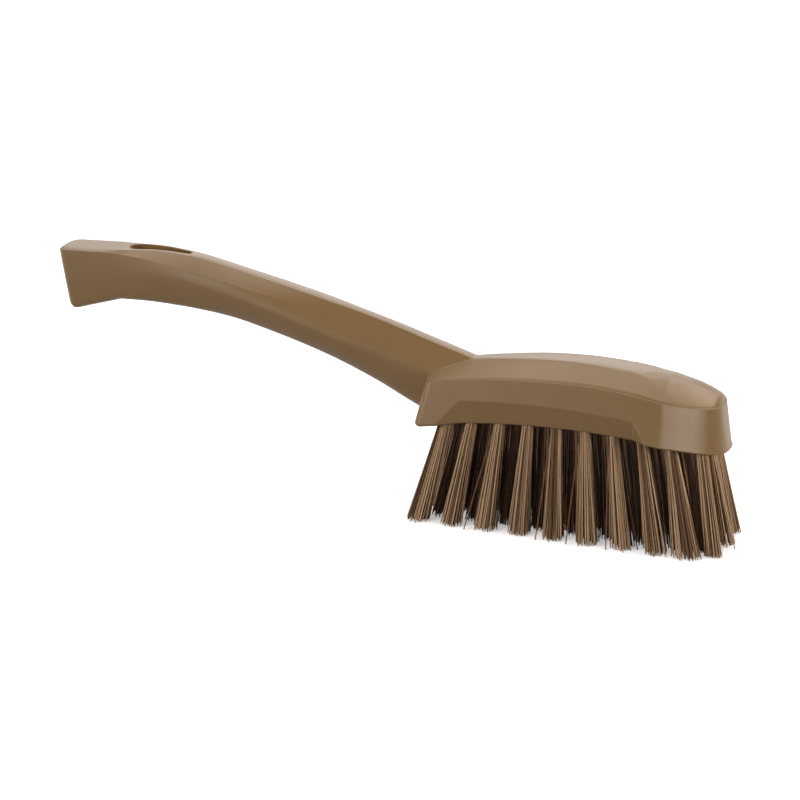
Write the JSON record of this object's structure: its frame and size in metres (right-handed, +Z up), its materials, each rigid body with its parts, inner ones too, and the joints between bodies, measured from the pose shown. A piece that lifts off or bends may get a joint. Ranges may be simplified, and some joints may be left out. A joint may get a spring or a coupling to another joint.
{
  "type": "hand scrub brush",
  "caption": "Short-handled scrub brush with an arched block, a curved hooked handle with a hanging slot, and stiff flared tufts.",
  "frame": {"origin": "centre of the bounding box in plan, on the plane of the bristle tips", "axes": "+X along the brush towards the nose, +Z up from the bristle tips to the handle, +Y across the block"},
  "size_m": [0.2708, 0.0428, 0.09],
  "materials": {
    "moulding": "satin injection-moulded polypropylene, mid brown",
    "filament": "extruded polyester monofilament, brown"
  },
  "bodies": {
    "root": {"block_and_handle": "moulding", "tuft_outer_near_01": "filament", "tuft_outer_near_02": "filament", "tuft_outer_near_03": "filament", "tuft_outer_near_04": "filament", "tuft_outer_near_05": "filament", "tuft_outer_near_06": "filament", "tuft_outer_near_07": "filament", "tuft_outer_near_08": "filament", "tuft_outer_near_09": "filament", "tuft_outer_near_10": "filament", "tuft_outer_far_01": "filament", "tuft_outer_far_02": "filament", "tuft_outer_far_03": "filament", "tuft_outer_far_04": "filament", "tuft_outer_far_05": "filament", "tuft_outer_far_06": "filament", "tuft_outer_far_07": "filament", "tuft_outer_far_08": "filament", "tuft_outer_far_09": "filament", "tuft_outer_far_10": "filament", "tuft_inner_near_01": "filament", "tuft_inner_near_02": "filament", "tuft_inner_near_03": "filament", "tuft_inner_near_04": "filament", "tuft_inner_near_05": "filament", "tuft_inner_near_06": "filament", "tuft_inner_near_07": "filament", "tuft_inner_near_08": "filament", "tuft_inner_near_09": "filament", "tuft_inner_far_01": "filament", "tuft_inner_far_02": "filament", "tuft_inner_far_03": "filament", "tuft_inner_far_04": "filament", "tuft_inner_far_05": "filament", "tuft_inner_far_06": "filament", "tuft_inner_far_07": "filament", "tuft_inner_far_08": "filament", "tuft_inner_far_09": "filament", "tuft_centre_01": "filament", "tuft_centre_02": "filament", "tuft_centre_03": "filament", "tuft_centre_04": "filament", "tuft_centre_05": "filament", "tuft_centre_06": "filament", "tuft_centre_07": "filament", "tuft_centre_08": "filament", "tuft_centre_09": "filament", "tuft_centre_10": "filament"}
  },
  "joints": []
}
